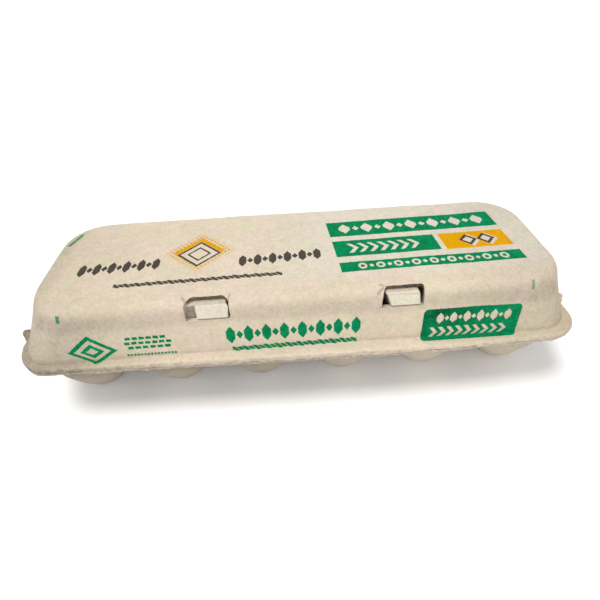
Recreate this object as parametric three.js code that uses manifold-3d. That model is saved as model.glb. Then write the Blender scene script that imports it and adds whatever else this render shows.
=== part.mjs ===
// A shut twelve-egg carton of moulded pulp, with its two locking tabs showing in the lid's front windows.
//
// Millimetres, +Z up. X runs along the carton, -Y is the front with the windows, +Y is the hinge side.
// The cup feet stand on z = 0. The carton is shut and can't be seen into, so lid and tray are solid.

import * as THREE from 'three';
import { mergeVertices } from 'three/addons/utils/BufferGeometryUtils.js';
import Module from 'manifold-3d';

const wasm = await Module();
wasm.setup();

// Rim: the trimmed flange where lid and tray meet, with a rounded lip on the lid's side.
const RIM_LEFT = -148.05;
const RIM_RIGHT = 148.05;
const RIM_FRONT = -50.8;
const RIM_BACK = 50.7;
const RIM_RADIUS = 20.0;
const RIM_BOW = 1.75;
const RIM_SKEW = 2.2;
const RIM_TIGHT = 3.5;
const RIM_TOP = 38.0;
const RIM_SEAM = 34.9;
const RIM_BOTTOM = 33.1;
const SEAM_GAP = 0.3;
const EDGE_EASE = 0.5;
const LIP_ROUND = 1.7;

// Lid: flat top, rounded shoulder, and walls that lean in from a crease just above the flange.
const HEIGHT = 68.3;
const TOP_INSET = { left: 17.0, right: 12.9, front: 10.0, back: 13.8 };
const TOP_RADIUS = 24.4;
const SHOULDER_RADIUS = 6.8;
const FOOT_INSET = { left: 4.2, right: 4.5, front: 3.3, back: 4.4 };
const FOOT_HEIGHT = 1.0;
const FOOT_RADIUS = 17.0;
const FRONT_DIP = 1.5;
const WALL_HOLLOW = { left: 0.5, right: 0.5, front: -0.3, back: 0.5 };

// Tray: twelve cups in two rows under a thick web.
const CUP_COLUMNS = 6;
const CUP_PITCH = 47.9;
const CUP_ROW = 23.9;
const CUP_SHIFT = 1.2;
const CUP_FOOT_RADIUS = 6.5;
const CUP_MOUTH_RADIUS = 21.0;
const CUP_DEPTH = 31.3;
const CUP_SQUARENESS = 2.7;
const WEB_BOTTOM = 26.5;
const WEB_INSET = 7.0;
const POST_HOLLOW_WIDE = 8.0;
const POST_HOLLOW_NARROW = 4.6;
const POST_HOLLOW_TOP = 31.5;

// End ears: one small tab on the flange at each end, square at the back and slanted at the front.
const EAR_FRONT = -29.6;
const EAR_BACK = -19.1;
const EAR_REACH = 5.8;
const EAR_WIDTH = 2.3;
const EAR_ROUND = 0.7;
const EAR_TOP = 36.5;

// Hinge fold along the back of the flange.
const HINGE_HALF_LENGTH = 118;
const HINGE_DEPTH = 1.6;

// Windows: each opening runs over the front shoulder into a pocket under a thin shell.
const WINDOWS = [
  {
    name: 'left',
    from: -54.4,
    to: -32.8,
    rear: -36.5,
    cornerLeft: 3.6,
    cornerRight: 2.6,
    tabFrom: -49.0,
    tabTo: -33.7,
    flare: 0.4,
    tuck: 2.8,
    leanLeft: 0.2,
    leanRight: 1.2,
    wing: 4.4,
  },
  {
    name: 'right',
    from: 41.0,
    to: 61.5,
    rear: -37.7,
    cornerLeft: 1.6,
    cornerRight: 0.8,
    tabFrom: 44.8,
    tabTo: 59.7,
    flare: 0.8,
    tuck: 0.6,
    leanLeft: -1.8,
    leanRight: -1.0,
    wing: 0,
  },
];
const WINDOW_SILL = 58.2;
const DIP_AT_WINDOWS = 0.87;
const SHELL = 2.2;
const POCKET_REAR = -29.5;
const POCKET_FLOOR = 49.0;
const POCKET_CEILING = 66.1;
const POCKET_MARGIN = 1.2;

// Locking tabs: each stands on the pocket floor, and its head fills the window almost flush with the wall.
const TAB_GAP = 0.3;
const TAB_TOP = 65.3;
const TAB_HEAD_BOTTOM = 58.7;
const TAB_SET_BACK = 0.1;
const TAB_REAR = -31.2;
const TAB_TAPER = 0.3;

// Resolution.
const CORNER_STEPS = 8;
const LONG_STEPS = 14;
const SHORT_STEPS = 5;
const SHOULDER_STEPS = 6;
const CUP_SIDES = 28;
const CUP_RINGS = 7;

// Colours of the pulp.
const PULP = 0xd9cbb5;
const PULP_TRAY = 0xb3a693;
const PULP_TAB = 0xe2d8c5;

function mix(a, b, t) {
  return a + (b - a) * t;
}

// A horizontal rounded rectangle, anticlockwise seen from above, with its front edge bowed outwards.
// The trim goes from 0 to 1. Full trim skews the bow to the right and tightens the front right corner.
function outline(box, radius, bow, z, trim) {
  const { left, right, front, back } = box;
  const tight = radius - RIM_TIGHT * trim;
  const corners = [
    { x: right - radius, y: back - radius, radius, start: 0 },
    { x: left + radius, y: back - radius, radius, start: Math.PI / 2 },
    { x: left + radius, y: front + radius, radius, start: Math.PI },
    { x: right - tight, y: front + tight, radius: tight, start: 1.5 * Math.PI },
  ];
  const points = [];
  for (let c = 0; c < 4; c += 1) {
    const corner = corners[c];
    for (let i = 0; i <= CORNER_STEPS; i += 1) {
      const angle = corner.start + (Math.PI / 2) * (i / CORNER_STEPS);
      points.push([
        corner.x + corner.radius * Math.cos(angle),
        corner.y + corner.radius * Math.sin(angle),
      ]);
    }
    const next = corners[(c + 1) % 4];
    const from = points[points.length - 1];
    const to = [
      next.x + next.radius * Math.cos(next.start),
      next.y + next.radius * Math.sin(next.start),
    ];
    const steps = c % 2 === 0 ? LONG_STEPS : SHORT_STEPS;
    for (let i = 1; i < steps; i += 1) {
      points.push([mix(from[0], to[0], i / steps), mix(from[1], to[1], i / steps)]);
    }
  }
  const middle = (left + right) / 2;
  const half = (right - left) / 2 - radius * 0.6;
  return points.map(([x, y]) => {
    const along = (x - middle) / half;
    const share = y < front + radius ? Math.max(0, 1 - along * along) : 0;
    return new THREE.Vector3(x, y - (bow + RIM_SKEW * trim * along) * share, z);
  });
}

// The rim's outline drawn in by a distance for each side.
function insetOutline(inset, radius, bow, z, trim = 0) {
  const box = {
    left: RIM_LEFT + inset.left,
    right: RIM_RIGHT - inset.right,
    front: RIM_FRONT + inset.front,
    back: RIM_BACK - inset.back,
  };
  return outline(box, radius, bow, z, trim);
}

// A closed solid through a stack of rings of equal count, lowest first, with flat fans as its ends.
function loft(rings) {
  const count = rings[0].length;
  const positions = [];
  const index = [];
  for (const ring of rings) {
    for (const point of ring) {
      positions.push(point.x, point.y, point.z);
    }
  }
  for (let r = 0; r + 1 < rings.length; r += 1) {
    for (let i = 0; i < count; i += 1) {
      const j = (i + 1) % count;
      const a = r * count + i;
      const b = r * count + j;
      const c = (r + 1) * count + j;
      const d = (r + 1) * count + i;
      index.push(a, b, c, a, c, d);
    }
  }
  const ends = [
    { ring: rings[0], base: 0, flip: true },
    { ring: rings[rings.length - 1], base: (rings.length - 1) * count, flip: false },
  ];
  for (const { ring, base, flip } of ends) {
    const centre = new THREE.Vector3();
    for (const point of ring) {
      centre.add(point);
    }
    centre.divideScalar(count);
    const hub = positions.length / 3;
    positions.push(centre.x, centre.y, centre.z);
    for (let i = 0; i < count; i += 1) {
      const j = (i + 1) % count;
      index.push(hub, base + (flip ? j : i), base + (flip ? i : j));
    }
  }
  const geometry = new THREE.BufferGeometry();
  geometry.setAttribute('position', new THREE.Float32BufferAttribute(positions, 3));
  geometry.setIndex(index);
  return geometry;
}

// A straight bar whose section is drawn on the Y-Z plane, anticlockwise seen from +X.
function barAlongX(section, from, to) {
  const rings = [from, to].map((x) => section.map(([y, z]) => new THREE.Vector3(x, y, z)));
  return loft(rings);
}

function toManifold(geometry) {
  const bare = new THREE.BufferGeometry();
  bare.setAttribute('position', geometry.getAttribute('position').clone());
  if (geometry.index) {
    bare.setIndex(geometry.index.clone());
  }
  const merged = mergeVertices(bare, 1e-5);
  return new wasm.Manifold(
    new wasm.Mesh({
      numProp: 3,
      vertProperties: new Float32Array(merged.getAttribute('position').array),
      triVerts: new Uint32Array(merged.index.array),
    }),
  );
}

function toGeometry(manifold) {
  const mesh = manifold.getMesh();
  const positions = new Float32Array(mesh.numVert * 3);
  for (let i = 0; i < mesh.numVert; i += 1) {
    for (let k = 0; k < 3; k += 1) {
      positions[i * 3 + k] = mesh.vertProperties[i * mesh.numProp + k];
    }
  }
  const geometry = new THREE.BufferGeometry();
  geometry.setAttribute('position', new THREE.BufferAttribute(positions, 3));
  geometry.setIndex(new THREE.BufferAttribute(new Uint32Array(mesh.triVerts), 1));
  geometry.computeVertexNormals();
  return geometry;
}

function joined(first, others) {
  return others.reduce((sum, other) => sum.add(other), first);
}

function evenInset(distance) {
  return { left: distance, right: distance, front: distance, back: distance };
}

// Applies a function to each side's name and gathers the results.
function eachSide(measure) {
  return {
    left: measure('left'),
    right: measure('right'),
    front: measure('front'),
    back: measure('back'),
  };
}

// The share of the way up the wall from its foot to the lid's top.
function wallShare(z) {
  const foot = RIM_TOP + FOOT_HEIGHT;
  return (z - foot) / (HEIGHT - foot);
}

// How far the lid's wall stands in from the rim at a height: a straight lean and a slight hollow.
function wallInset(side, z) {
  const share = wallShare(z);
  const lean = mix(FOOT_INSET[side], TOP_INSET[side], share);
  return lean + WALL_HOLLOW[side] * Math.sin(Math.PI * share);
}

// The Y of the front wall's outer face at a height, where the windows are.
function frontWallY(z) {
  return RIM_FRONT + wallInset('front', z) + FRONT_DIP * DIP_AT_WINDOWS * (1 - wallShare(z));
}

function lidRings() {
  const foot = RIM_TOP + FOOT_HEIGHT;
  const seam = RIM_SEAM + SEAM_GAP / 2;
  const rings = [];
  const lip = [
    [EDGE_EASE, seam],
    [0, seam + EDGE_EASE * 0.6],
    [0, RIM_TOP - LIP_ROUND],
    [LIP_ROUND * 0.3, RIM_TOP - LIP_ROUND * 0.3],
    [LIP_ROUND, RIM_TOP],
  ];
  for (const [inset, z] of lip) {
    rings.push(insetOutline(evenInset(inset), RIM_RADIUS - inset, RIM_BOW, z, 1));
  }
  const crease = [
    [0.82, 0.05],
    [0.95, 0.35],
  ];
  for (const [out, up] of crease) {
    const inset = eachSide((side) => FOOT_INSET[side] * out);
    const radius = mix(RIM_RADIUS, FOOT_RADIUS, out);
    const bow = mix(RIM_BOW, -FRONT_DIP, out);
    rings.push(insetOutline(inset, radius, bow, RIM_TOP + FOOT_HEIGHT * up, 1 - out));
  }
  const shoulderBase = HEIGHT - SHOULDER_RADIUS;
  const wallSteps = 4;
  for (let i = 0; i <= wallSteps; i += 1) {
    const z = mix(foot, shoulderBase, i / wallSteps);
    const share = wallShare(z);
    const inset = eachSide((side) => wallInset(side, z));
    rings.push(insetOutline(inset, mix(FOOT_RADIUS, TOP_RADIUS, share), -FRONT_DIP * (1 - share), z));
  }
  const share = wallShare(shoulderBase);
  for (let i = 1; i <= SHOULDER_STEPS; i += 1) {
    const angle = (Math.PI / 2) * (i / SHOULDER_STEPS);
    const turn = SHOULDER_RADIUS * (1 - Math.cos(angle));
    const inset = eachSide((side) => wallInset(side, shoulderBase) + turn);
    const z = shoulderBase + SHOULDER_RADIUS * Math.sin(angle);
    const dip = FRONT_DIP * (1 - share) * (1 - i / SHOULDER_STEPS);
    rings.push(insetOutline(inset, mix(FOOT_RADIUS, TOP_RADIUS, share) - turn * 0.7, -dip, z));
  }
  return rings;
}

// A small ear on the flange between two heights: a square back corner and a slanted front edge.
function ear(side, low, high) {
  const edge = side < 0 ? RIM_LEFT : RIM_RIGHT;
  const root = edge - side * 6;
  const tip = edge + side * EAR_REACH;
  const plan = [
    [root, EAR_FRONT],
    [edge - side * 0.3, EAR_FRONT],
    [tip - side * EAR_ROUND * 0.4, EAR_BACK - EAR_WIDTH - EAR_ROUND],
    [tip, EAR_BACK - EAR_WIDTH],
    [tip, EAR_BACK - EAR_ROUND],
    [tip - side * EAR_ROUND, EAR_BACK],
    [root, EAR_BACK],
  ];
  if (side < 0) {
    plan.reverse();
  }
  const rings = [low, high].map((z) => plan.map(([x, y]) => new THREE.Vector3(x, y, z)));
  return loft(rings);
}

// The cutter of one window: a slot over the shoulder, joined to a deeper pocket under the shell.
function windowCutter(window) {
  const slotPlan = [
    [window.from, RIM_FRONT - 12],
    [window.to, RIM_FRONT - 12],
    [window.to, window.rear - window.cornerRight],
    [window.to - window.cornerRight, window.rear],
    [window.from + window.cornerLeft, window.rear],
    [window.from, window.rear - window.cornerLeft],
  ];
  const slotRings = [WINDOW_SILL, HEIGHT + 6].map((z) => {
    return slotPlan.map(([x, y]) => new THREE.Vector3(x, y, z));
  });
  const section = [
    [frontWallY(POCKET_FLOOR) + SHELL, POCKET_FLOOR],
    [POCKET_REAR, POCKET_FLOOR],
    [POCKET_REAR, POCKET_CEILING],
    [frontWallY(POCKET_CEILING) + SHELL, POCKET_CEILING],
  ];
  const pocket = barAlongX(section, window.from - POCKET_MARGIN, window.to + POCKET_MARGIN);
  return toManifold(loft(slotRings)).add(toManifold(pocket));
}

function lidSolid() {
  const seam = RIM_SEAM + SEAM_GAP / 2;
  const shell = toManifold(loft(lidRings()));
  const ears = [-1, 1].map((side) => toManifold(ear(side, seam, EAR_TOP)));
  const body = joined(shell, ears);
  return WINDOWS.reduce((solid, window) => solid.subtract(windowCutter(window)), body);
}

// One cup: an elliptical bowl that starts at a flat round foot and turns squarer towards its mouth.
function cup(x, y) {
  const rings = [];
  for (let r = 0; r <= CUP_RINGS; r += 1) {
    const angle = (Math.PI / 2) * (r / CUP_RINGS);
    const z = CUP_DEPTH * (1 - Math.cos(angle));
    const radius = mix(CUP_FOOT_RADIUS, CUP_MOUTH_RADIUS, Math.sin(angle));
    const power = mix(2, CUP_SQUARENESS, Math.sin(angle) ** 3);
    const ring = [];
    for (let i = 0; i < CUP_SIDES; i += 1) {
      const turn = (2 * Math.PI * i) / CUP_SIDES;
      const c = Math.cos(turn);
      const s = Math.sin(turn);
      const stretch = (Math.abs(c) ** power + Math.abs(s) ** power) ** (-1 / power);
      ring.push(new THREE.Vector3(x + radius * stretch * c, y + radius * stretch * s, z));
    }
    rings.push(ring);
  }
  return loft(rings);
}

function cupCentres() {
  const centres = [];
  for (let column = 0; column < CUP_COLUMNS; column += 1) {
    const x = CUP_SHIFT + (column - (CUP_COLUMNS - 1) / 2) * CUP_PITCH;
    centres.push([x, -CUP_ROW], [x, CUP_ROW]);
  }
  return centres;
}

// The hollow under each post that stands between four cups.
function postHollow(x) {
  const sides = 16;
  const rings = [
    [WEB_BOTTOM - 6, POST_HOLLOW_WIDE],
    [POST_HOLLOW_TOP, POST_HOLLOW_NARROW],
  ].map(([z, radius]) => {
    const ring = [];
    for (let i = 0; i < sides; i += 1) {
      const turn = (2 * Math.PI * i) / sides;
      ring.push(new THREE.Vector3(x + radius * Math.cos(turn), radius * Math.sin(turn), z));
    }
    return ring;
  });
  return loft(rings);
}

function traySolid() {
  const seam = RIM_SEAM - SEAM_GAP / 2;
  const flangeRings = [
    [EDGE_EASE, RIM_BOTTOM],
    [0, RIM_BOTTOM + EDGE_EASE * 0.6],
    [0, seam - EDGE_EASE * 0.6],
    [EDGE_EASE, seam],
  ].map(([inset, z]) => insetOutline(evenInset(inset), RIM_RADIUS - inset, RIM_BOW, z, 1));
  const webRings = [
    [WEB_INSET + 1.4, WEB_BOTTOM],
    [WEB_INSET, RIM_BOTTOM + 1],
  ].map(([inset, z]) => insetOutline(evenInset(inset), RIM_RADIUS - inset, 0, z));
  const ears = [-1, 1].map((side) => toManifold(ear(side, RIM_BOTTOM, seam)));
  const cups = cupCentres().map(([x, y]) => toManifold(cup(x, y)));
  const flange = toManifold(loft(flangeRings));
  let solid = joined(flange, [toManifold(loft(webRings)), ...ears]);
  for (let column = 0; column + 1 < CUP_COLUMNS; column += 1) {
    const x = CUP_SHIFT + (column + 1 - (CUP_COLUMNS - 1) / 2) * CUP_PITCH;
    solid = solid.subtract(toManifold(postHollow(x)));
  }
  return joined(solid, cups);
}

// A locking tab: a stem inside the pocket and a wedge head that fills the window. The left tab's head
// has a wing on its left, set back to the stem's face.
function latchTab(window) {
  const floor = POCKET_FLOOR + TAB_GAP;
  const stem = (z) => frontWallY(z) + SHELL + TAB_GAP;
  const face = (z) => frontWallY(z) + TAB_SET_BACK;
  const section = [
    [stem(floor), floor],
    [TAB_REAR, floor],
    [TAB_REAR, TAB_TOP],
    [face(TAB_TOP) + 1.1, TAB_TOP],
    [face(TAB_TOP - 0.9) + 0.1, TAB_TOP - 0.9],
    [face(TAB_HEAD_BOTTOM + 0.5), TAB_HEAD_BOTTOM + 0.5],
    [face(TAB_HEAD_BOTTOM) + 0.6, TAB_HEAD_BOTTOM],
    [stem(TAB_HEAD_BOTTOM), TAB_HEAD_BOTTOM],
  ];
  const nose = face(TAB_TOP - 0.9);
  const reach = TAB_REAR - nose;
  const middle = (TAB_TOP + TAB_HEAD_BOTTOM) / 2;
  const side = (edge, sign) => section.map(([y, z]) => {
    const depth = Math.max(0, (y - nose) / reach);
    const drop = (TAB_TOP - z) / (TAB_TOP - floor);
    const spread = sign < 0 ? window.flare : window.tuck;
    const flare = spread * Math.min(1, depth * 2) * (1 - drop);
    const rise = (Math.max(z, TAB_HEAD_BOTTOM) - middle) / (TAB_TOP - TAB_HEAD_BOTTOM);
    const lean = sign < 0 ? window.leanLeft : window.leanRight;
    const x = edge - sign * TAB_TAPER * drop - flare + lean * rise;
    return new THREE.Vector3(x, y, z);
  });
  const head = toManifold(loft([side(window.tabFrom, -1), side(window.tabTo, 1)]));
  if (window.wing === 0) {
    return head;
  }
  const wing = [
    [stem(floor), floor],
    [TAB_REAR, floor],
    [TAB_REAR, TAB_TOP],
    [stem(TAB_TOP), TAB_TOP],
  ];
  return head.add(toManifold(barAlongX(wing, window.tabFrom - window.wing, window.tabFrom + 2)));
}

// The fold that joins lid and tray behind the flange.
function hingeFold() {
  const root = RIM_BACK + SEAM_GAP;
  const top = RIM_TOP - LIP_ROUND;
  const middle = (RIM_BOTTOM + top) / 2;
  const half = (top - RIM_BOTTOM) / 2 - 0.1;
  const section = [[root, middle - half]];
  const steps = 6;
  for (let i = 0; i <= steps; i += 1) {
    const angle = -Math.PI / 2 + (Math.PI * i) / steps;
    section.push([root + 0.4 + HINGE_DEPTH * Math.cos(angle), middle + half * Math.sin(angle)]);
  }
  section.push([root, middle + half]);
  const stations = [
    [-HINGE_HALF_LENGTH, 0.45],
    [-HINGE_HALF_LENGTH + 3, 1],
    [HINGE_HALF_LENGTH - 3, 1],
    [HINGE_HALF_LENGTH, 0.45],
  ];
  const rings = stations.map(([x, scale]) => section.map(([y, z]) => {
    return new THREE.Vector3(x, root + (y - root) * scale, middle + (z - middle) * mix(0.75, 1, scale));
  }));
  return loft(rings);
}

function material(color, roughness) {
  return new THREE.MeshStandardMaterial({ color, roughness, metalness: 0 });
}

function addMesh(group, name, geometry, surface) {
  const mesh = new THREE.Mesh(geometry, surface);
  mesh.name = name;
  group.add(mesh);
}

const carton = new THREE.Group();
carton.name = 'carton';

const lidPaper = material(PULP, 0.95);
const trayPaper = material(PULP_TRAY, 0.95);
const tabPaper = material(PULP_TAB, 0.95);

addMesh(carton, 'lid', toGeometry(lidSolid()), lidPaper);
addMesh(carton, 'tray', toGeometry(traySolid()), trayPaper);
for (const window of WINDOWS) {
  addMesh(carton, `latch_tab_${window.name}`, toGeometry(latchTab(window)), tabPaper);
}
addMesh(carton, 'hinge_fold', toGeometry(toManifold(hingeFold())), trayPaper);

export default carton;
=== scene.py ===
"""A shut egg carton of moulded pulp: fine surfaces, paper materials, flat print and a plain studio.

The carton lies along X with its windowed front towards -Y. All profiles below are worked out in
millimetres and become metres when a mesh is made.
"""
import math
from functools import reduce
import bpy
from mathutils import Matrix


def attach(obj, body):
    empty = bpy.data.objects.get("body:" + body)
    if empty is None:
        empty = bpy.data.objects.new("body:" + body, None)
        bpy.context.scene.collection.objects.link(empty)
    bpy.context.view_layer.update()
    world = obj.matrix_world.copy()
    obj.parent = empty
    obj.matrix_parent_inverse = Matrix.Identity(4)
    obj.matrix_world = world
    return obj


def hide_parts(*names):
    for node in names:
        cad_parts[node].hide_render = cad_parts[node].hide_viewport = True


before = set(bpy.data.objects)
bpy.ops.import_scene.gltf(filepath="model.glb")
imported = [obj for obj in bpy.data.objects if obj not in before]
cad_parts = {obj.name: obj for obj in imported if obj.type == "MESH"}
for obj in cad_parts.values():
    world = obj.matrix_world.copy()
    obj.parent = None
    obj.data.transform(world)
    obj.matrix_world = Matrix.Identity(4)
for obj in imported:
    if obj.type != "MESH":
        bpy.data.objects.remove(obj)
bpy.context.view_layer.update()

from types import SimpleNamespace

import bmesh
import bpy
import numpy as np
from mathutils import Matrix

bl_info = {
    "name": "Egg Carton",
    "version": (1, 0, 0),
    "blender": (4, 5, 0),
    "location": "3D Viewport > Sidebar > Carton",
    "description": "Builds a shut carton of moulded pulp with its print and a plain studio",
    "category": "Object",
}

MM = 0.001
SIDES = ("left", "right", "front", "back")

# Half the slit between lid and tray, and half the line to which their flat faces shrink.
HALF_SEAM = 0.06
HALF_SPINE = 96.0

# Windows in the lid's front edge, and the head of the locking tab in each.
WINDOWS = (
    SimpleNamespace(
        name="left", low=-54.4, high=-32.8, rear=-36.5, corner_low=(3.6, 3.6), corner_high=2.6,
        tab_low=-49.0, tab_high=-33.25, flare=0.4, tuck=2.8, lean_low=0.2, lean_high=1.2,
        wing=5.9,
    ),
    SimpleNamespace(
        name="right", low=41.0, high=61.5, rear=-37.7, corner_low=(2.0, 4.2), corner_high=0.8,
        tab_low=44.8, tab_high=60.0, flare=1.7, tuck=0.6, lean_low=-1.8, lean_high=-1.0,
        wing=0.0,
    ),
)
WINDOW_SILL = 58.2
DIP_AT_WINDOWS = 0.87
SHELL = 2.2
POCKET_REAR = -29.5
POCKET_FLOOR = 49.0
POCKET_CEILING = 66.1
POCKET_MARGIN = 1.2
TAB_TOP = 65.3
TAB_HEAD_BOTTOM = 58.7
TAB_SET_BACK = 0.1
TAB_REAR = -31.2
TAB_GAP = 0.3

# The ears on the rim's ends: a square back corner and a slanted front edge.
EAR_FRONT = -29.6
EAR_BACK = -19.1
EAR_REACH = 5.8
EAR_WIDTH = 2.3
EAR_TOP = 36.5

# Half the length of the fold behind the rim.
HINGE_HALF_LENGTH = 118.0

# The hollows under the tray's posts: the cone's lower and upper radius, and its top.
POST_HOLLOW_WIDE = 8.0
POST_HOLLOW_NARROW = 4.6
POST_HOLLOW_TOP = 31.5

# Print: softness of its edges, and how far a row's cells reach from the row's middle.
FIELD_EDGE = 0.12
MARK_EDGE = 0.13
ROW_REACH = 12.0

# Creases in the top at the windows' corners: start, end and width.
CREASES = (
    ((-52.8, -39.4), (-55.0, -36.2), 0.75),
    ((-33.2, -39.8), (-32.0, -36.2), 0.6),
    ((39.2, -40.4), (41.6, -38.9), 0.7),
    ((40.4, -36.8), (42.3, -37.6), 0.5),
)

# The lamps' slightly warm white.
LAMP_TINT = (1.0, 0.99, 0.975)


# ---- settings ----


def length(name, millimetres, description):
    return bpy.props.FloatProperty(
        name=name,
        description=description,
        default=millimetres * MM,
        min=0.0,
        unit="LENGTH",
        precision=5,
    )


def colour(name, srgb, description):
    return bpy.props.FloatVectorProperty(
        name=name,
        description=description,
        default=tuple(linear(part) for part in srgb),
        size=3,
        min=0.0,
        max=1.0,
        subtype="COLOR",
    )


def number(name, value, description, low=0.0, high=1000.0):
    return bpy.props.FloatProperty(
        name=name, description=description, default=value, min=low, max=high
    )


def linear(part):
    """An sRGB part from 0 to 255 as a linear part from 0 to 1."""
    share = part / 255.0
    if share <= 0.04045:
        return share / 12.92
    return ((share + 0.055) / 1.055) ** 2.4


class CartonSizes(bpy.types.PropertyGroup):
    """The carton's driving dimensions."""

    half_length: length("Half length", 148.05, "From the middle to the rim's end")
    front: length("Front depth", 50.8, "From the middle to the rim's front edge")
    back: length("Back depth", 50.7, "From the middle to the rim's back edge")
    height: length("Height", 68.3, "From the feet to the lid's top")
    rim_top: length("Rim top", 38.0, "Upper face of the lid's flange")
    lip: length("Lip", 1.7, "Rounding of the flange's upper edge")
    rim_seam: length("Seam", 34.9, "Level where lid and tray meet")
    rim_bottom: length("Rim bottom", 33.1, "Lower face of the tray's flange")
    rim_radius: length("Rim corner", 20.0, "Plan radius of the rim's corners")
    rim_bow: length("Front bow", 1.75, "How far the rim's front edge bows out")
    rim_skew: length("Bow skew", 2.2, "How much further it bows out towards the right")
    rim_tight: length("Tight corner", 4.4, "How much tighter the rim's front right corner is")
    top_radius: length("Top corner", 24.4, "Plan radius of the lid's top edge")
    shoulder: length("Shoulder", 6.8, "Size of the rounding from walls to top")
    inset_left: length("Left lean", 17.0, "How far the left wall stands in at the top")
    inset_right: length("Right lean", 12.9, "How far the right wall stands in at the top")
    inset_front: length("Front lean", 10.0, "How far the front wall stands in at the top")
    inset_back: length("Back lean", 13.8, "How far the back wall stands in at the top")
    foot_left: length("Left foot", 4.2, "Flange width at the left wall's foot")
    foot_right: length("Right foot", 4.5, "Flange width at the right wall's foot")
    foot_front: length("Front foot", 3.3, "Flange width at the ends of the front wall's foot")
    foot_back: length("Back foot", 4.4, "Flange width at the back wall's foot")
    foot_height: length("Foot height", 1.0, "Height of the crease over the flange")
    foot_radius: length("Foot corner", 17.0, "Plan radius of the walls' foot")
    front_dip: length("Front dip", 1.5, "How far the front wall's foot dips in at mid-length")
    hollow: length("Wall hollow", 0.5, "How far the side and back walls curve inwards")
    front_belly: length("Front belly", 0.3, "How far the front wall curves outwards")
    cup_pitch: length("Cup pitch", 47.9, "Distance between cups along the carton")
    cup_row: length("Cup row", 23.9, "Distance of each row of cups from the middle")
    cup_foot: length("Cup foot", 6.5, "Radius of a cup's flat foot")
    cup_mouth: length("Cup mouth", 21.0, "Radius of a cup where it meets the web")
    cup_pinch: length("Cup draw-in", 1.4, "How far a cup is drawn in half-way up")
    cup_depth: length("Cup depth", 31.3, "Height of a cup's rounded profile")
    cup_shift: length("Cup shift", 1.2, "How far the cups sit towards the right end")
    web_bottom: length("Web level", 26.5, "Lower face of the web between the cups")
    web_inset: length("Web inset", 7.0, "How far the web stands in from the rim")
    ragged: length("Ragged edge", 0.75, "Roughness of the trimmed edge")
    waviness: length("Waviness", 0.3, "Soft unevenness of the broad faces")


class CartonColours(bpy.types.PropertyGroup):
    """Colours of pulp and ink."""

    lid: colour("Lid", (206, 194, 177), "Pulp of the lid")
    # Darker than the lid: partly its own tone, partly painted shade for cups under the flange.
    tray: colour("Tray", (186, 176, 163), "Pulp of the tray")
    tab: colour("Tab", (210, 204, 190), "Pulp of the locking tabs")
    inside: colour("Inside", (176, 160, 140), "Shaded pulp behind the windows")
    green: colour("Green ink", (0, 122, 76), "Green print")
    orange: colour("Orange ink", (206, 150, 3), "Orange print")
    black: colour("Black ink", (48, 44, 41), "Black print")
    coverage: number("Ink coverage", 1.0, "How fully ink covers the pulp", 0.0, 1.0)
    blotches: number("Blotches", 1.0, "Strength of the uneven colour", 0.0, 4.0)
    relief: number("Relief", 1.0, "Strength of the pulp's fine bumps", 0.0, 4.0)


class StageSettings(bpy.types.PropertyGroup):
    """Camera, lights and floor."""

    pitch: number("Pitch", 43.82, "Degrees the camera looks down", -90.0, 90.0)
    yaw: number("Yaw", 1.84, "Degrees the camera turns to the right", -180.0, 180.0)
    roll: number("Roll", -2.65, "Degrees the camera leans", -180.0, 180.0)
    lens: number("Lens", 22.8, "Focal length in millimetres", 5.0, 300.0)
    camera_x: length("Camera X", -2.91, "Camera place along the carton")
    camera_y: length("Camera Y", -171.70, "Camera place across the carton")
    camera_z: length("Camera Z", 191.25, "Camera height")
    floor: colour("Floor", (248, 248, 248), "Floor colour")
    sky: number("Sky", 0.65, "Strength of the even light from all round")
    key: number("Key", 2.1, "Strength of the main light from above left")
    fill: number("Fill", 0.6, "Strength of the light near the camera")


def sizes():
    """The carton's sizes in millimetres, as plain numbers by name."""
    group = bpy.context.scene.carton_sizes
    names = CartonSizes.__annotations__
    return SimpleNamespace(**{name: getattr(group, name) / MM for name in names})


# ---- surfaces ----


def unit(vectors):
    """The vectors scaled to a length of one."""
    return vectors / np.linalg.norm(vectors, axis=-1, keepdims=True)


def soft_noise(points, wavelength, seed, waves=18):
    """A smooth uneven height from about -1 to 1: the mean of sine waves in seeded directions."""
    rng = np.random.default_rng(seed)
    direction = unit(rng.normal(size=(waves, 3)))
    pitch = wavelength * rng.uniform(0.65, 1.6, waves)
    phase = rng.uniform(0.0, 2.0 * np.pi, waves)
    angle = points @ (direction * (2.0 * np.pi / pitch)[:, None]).T + phase
    return np.sin(angle).mean(axis=-1) * 2.2


def rounded_frame(corner_steps=24, long_steps=330, short_steps=80):
    """The way round a rounded rectangle, from the back right corner, anticlockwise from above.

    Each point lies a share of the way from point a to point b. On a corner the two are the same
    point of its arc. On a straight they are the ends of the arcs beside it.
    """
    signs = [(1, 1), (-1, 1), (-1, -1), (1, -1)]
    rows = []
    for corner, (sx, sy) in enumerate(signs):
        start = corner * np.pi / 2
        end = start + np.pi / 2
        arc = start + np.linspace(0.0, np.pi / 2, corner_steps + 1)
        steps = long_steps if corner % 2 == 0 else short_steps
        share = np.linspace(0.0, 1.0, steps + 1)[1:-1]
        nx, ny = signs[(corner + 1) % 4]
        rows.append(np.column_stack(np.broadcast_arrays(sx, sy, arc, sx, sy, arc, 0.0)))
        rows.append(np.column_stack(np.broadcast_arrays(sx, sy, end, nx, ny, end, share)))
    return np.vstack(rows).T


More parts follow.
